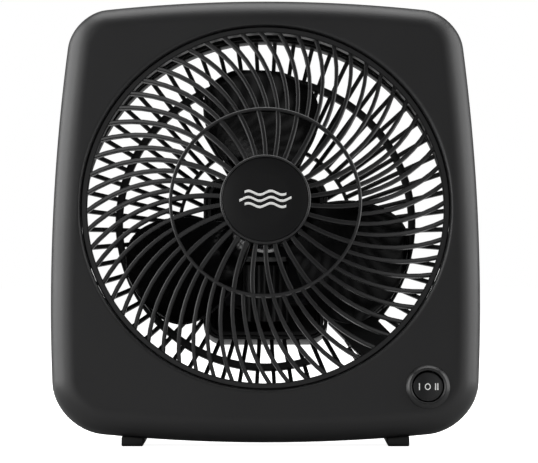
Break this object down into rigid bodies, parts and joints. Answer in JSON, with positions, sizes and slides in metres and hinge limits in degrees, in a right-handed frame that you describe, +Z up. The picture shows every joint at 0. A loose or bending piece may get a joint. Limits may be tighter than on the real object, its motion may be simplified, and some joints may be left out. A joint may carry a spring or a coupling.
{
  "type": "box fan",
  "caption": "Small leaning square table fan with a spiral front grille, a three-blade impeller, a rear guard and a round rocker switch.",
  "frame": {"origin": "centre of the whole part's box, on the floor under the feet", "axes": "+Z up; the fan blows towards -Y; +X to the right as seen from the front. The casing leans back 10.5 degrees about X."},
  "size_m": [0.25, 0.1244, 0.26],
  "materials": {
    "case_black": "satin moulded ABS",
    "grille_black": "satin moulded ABS",
    "badge_black": "satin moulded ABS with a printed mark",
    "blade_black": "glossy moulded AS",
    "guard_black": "satin moulded PP",
    "switch_black": "satin moulded nylon",
    "foot_black": "matt moulded rubber",
    "gland_black": "matt moulded PVC",
    "nylon_black": "glass-filled nylon",
    "wire_black": "PVC sleeve",
    "steel": "zinc-plated steel",
    "lamination": "stamped electrical steel, varnished black",
    "copper": "bare copper",
    "coil_tape": "enamelled copper wire under black polyester tape",
    "bronze": "sintered bronze",
    "aluminium": "die-cast aluminium",
    "brass": "stamped brass"
  },
  "bodies": {
    "root": {"front_shell": "case_black", "rear_shell": "case_black", "front_grille": "grille_black", "hub_badge": "badge_black", "rear_grille": "guard_black", "motor_housing": "guard_black", "wire_duct": "guard_black", "stator_core": "lamination", "shading_ring_1": "copper", "shading_ring_2": "copper", "coil_bobbin": "nylon_black", "coil_winding": "coil_tape", "front_bracket": "aluminium", "rear_bracket": "aluminium", "front_bush": "bronze", "rear_bush": "bronze", "motor_screw_1": "steel", "motor_screw_2": "steel", "switch_housing": "switch_black", "switch_terminal_1": "brass", "switch_terminal_2": "brass", "switch_terminal_3": "brass", "case_screw_1": "steel", "case_screw_2": "steel", "case_screw_3": "steel", "case_screw_4": "steel", "cord_gland": "gland_black", "lead_high": "wire_black", "lead_low": "wire_black", "lead_neutral": "wire_black", "lead_live": "wire_black", "foot_left": "foot_black", "foot_right": "foot_black", "foot_screw_left": "steel", "foot_screw_right": "steel"},
    "rotor": {"impeller": "blade_black", "impeller_clip": "steel", "motor_shaft": "steel", "rotor_core": "lamination", "thrust_washer_front": "brass", "thrust_washer_rear": "brass"},
    "rocker": {"rocker": "switch_black"}
  },
  "joints": [
    {"name": "fan_spin", "type": "hinge", "parent": "root", "child": "rotor", "pos_m": [0, -0.00833, 0.13387], "axis": [0, 0.9833, -0.1822], "continuous": true},
    {"name": "rocker_tilt", "type": "hinge", "parent": "root", "child": "rocker", "pos_m": [0.0937, -0.05406, 0.03423], "axis": [0, 0.1822, 0.9833], "range_deg": [-10, 10]}
  ]
}
